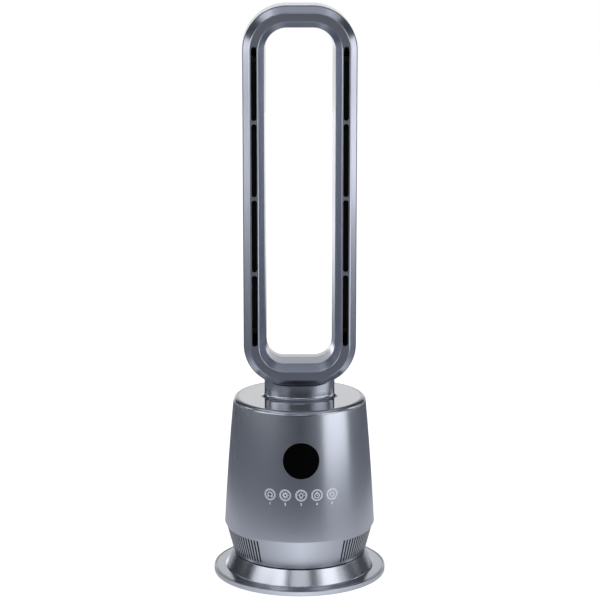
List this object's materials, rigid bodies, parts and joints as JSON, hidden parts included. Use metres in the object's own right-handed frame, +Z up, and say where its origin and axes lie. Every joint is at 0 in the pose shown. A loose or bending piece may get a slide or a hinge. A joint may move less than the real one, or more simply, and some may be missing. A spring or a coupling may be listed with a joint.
{
  "type": "bladeless tower fan heater",
  "caption": "Bladeless fan heater: a swinging blower tower with slotted air intake on a round base, with an upright oblong loop that blows air through vertical slots.",
  "frame": {"origin": "centre of the base at floor level, on the axis that the tower swings about", "axes": "+Z up along the swing axis, -Y towards the front with the display and the outlet slots, +X to the right as seen from the front"},
  "size_m": [0.2968, 0.2968, 0.98],
  "materials": {
    "body_paint": "metallic silver-blue lacquer, satin to gloss",
    "body_gloss": "polished silver-blue lacquer",
    "rubber_black": "matt",
    "steel_plate": "zinc plated",
    "steel_bright": "bright",
    "terminal_plastic": "moulded",
    "board_green": "lacquered board",
    "white_plastic": "self-lubricating",
    "grey_plastic": "moulded",
    "dark_mesh": "fine mesh",
    "window_tint": "black, polished",
    "dark_plastic": "black, heat resistant",
    "heater_fins": "blackened fins",
    "heater_mica": "ceramic board"
  },
  "bodies": {
    "base": {"base_pan": "body_paint", "rubber_feet": "rubber_black", "ballast_plate": "steel_plate", "mains_terminal": "terminal_plastic", "base_cover": "body_paint", "cord_gland": "rubber_black", "glide_ring": "white_plastic", "swing_gear": "white_plastic"},
    "tower": {"swivel_plate": "grey_plastic", "swing_motor": "steel_plate", "intake_grille": "body_paint", "intake_screen": "dark_mesh", "main_housing": "body_paint", "display_window": "window_tint", "display_module": "dark_plastic", "touch_board": "board_green", "inlet_bell": "grey_plastic", "blower_casing": "grey_plastic", "diffuser": "grey_plastic", "fan_motor": "steel_plate", "motor_nose": "grey_plastic", "top_cover": "body_paint", "top_disc": "body_gloss", "air_duct": "grey_plastic", "power_board": "board_green", "neck_collar": "body_paint", "loop_front_frame": "body_paint", "loop_rear_shell": "body_paint", "outlet_nozzle_left": "dark_plastic", "outlet_nozzle_right": "dark_plastic", "heater_left": "heater_fins", "heater_right": "heater_fins", "heater_brackets": "heater_mica"},
    "impeller": {"impeller": "grey_plastic", "fan_shaft": "steel_bright"},
    "pinion": {"swing_pinion": "white_plastic", "swing_motor_shaft": "steel_bright"}
  },
  "joints": [
    {"name": "swing", "type": "hinge", "parent": "base", "child": "tower", "pos_m": [0, 0, 0.0447], "axis": [0, 0, 1], "range_deg": [-40, 40]},
    {"name": "fan_spin", "type": "hinge", "parent": "tower", "child": "impeller", "pos_m": [0, 0, 0.12], "axis": [0, 0, 1], "continuous": true},
    {"name": "pinion_spin", "type": "hinge", "parent": "tower", "child": "pinion", "pos_m": [0, 0.05, 0.0533], "axis": [0, 0, 1], "range_deg": [-160, 160]}
  ],
  "couplings": [
    {"joint": "pinion_spin", "follows": "swing", "ratio": 4}
  ]
}
